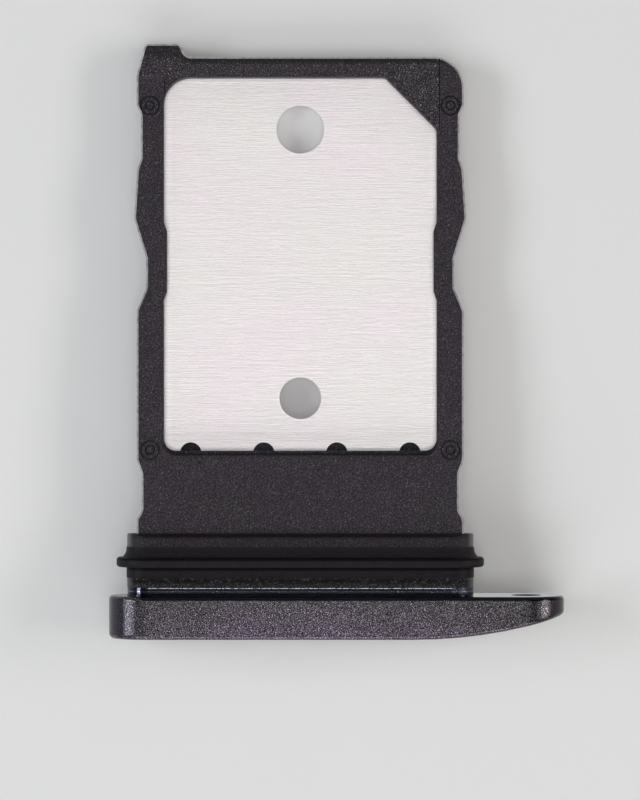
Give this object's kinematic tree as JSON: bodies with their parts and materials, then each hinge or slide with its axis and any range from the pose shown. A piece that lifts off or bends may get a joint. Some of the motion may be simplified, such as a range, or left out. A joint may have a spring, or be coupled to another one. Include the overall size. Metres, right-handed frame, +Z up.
{
  "type": "sim card tray",
  "caption": "Flat phone tray with a keyed pocket for a small card, stepped guide rails, a lip seal round the neck and a pill-shaped metal fascia with an eject pin hole.",
  "frame": {"origin": "under the middle of the tray's outline, on the surface that the tray lies on", "axes": "+X across the tray towards the eject pin hole, +Y along the tray towards the end that goes into the phone first, +Z up to the side that the card lies in"},
  "size_m": [0.0152, 0.0198, 0.0026],
  "materials": {
    "fascia_metal": "bead-blasted and anodised dark grey",
    "frame_plastic": "fine spark-eroded mould texture",
    "plate_steel": "fine brushed, grain across the tray",
    "seal_rubber": "satin"
  },
  "bodies": {
    "root": {"fascia": "fascia_metal", "carrier_frame": "frame_plastic", "card_plate": "plate_steel", "seal_ring": "seal_rubber"}
  },
  "joints": []
}
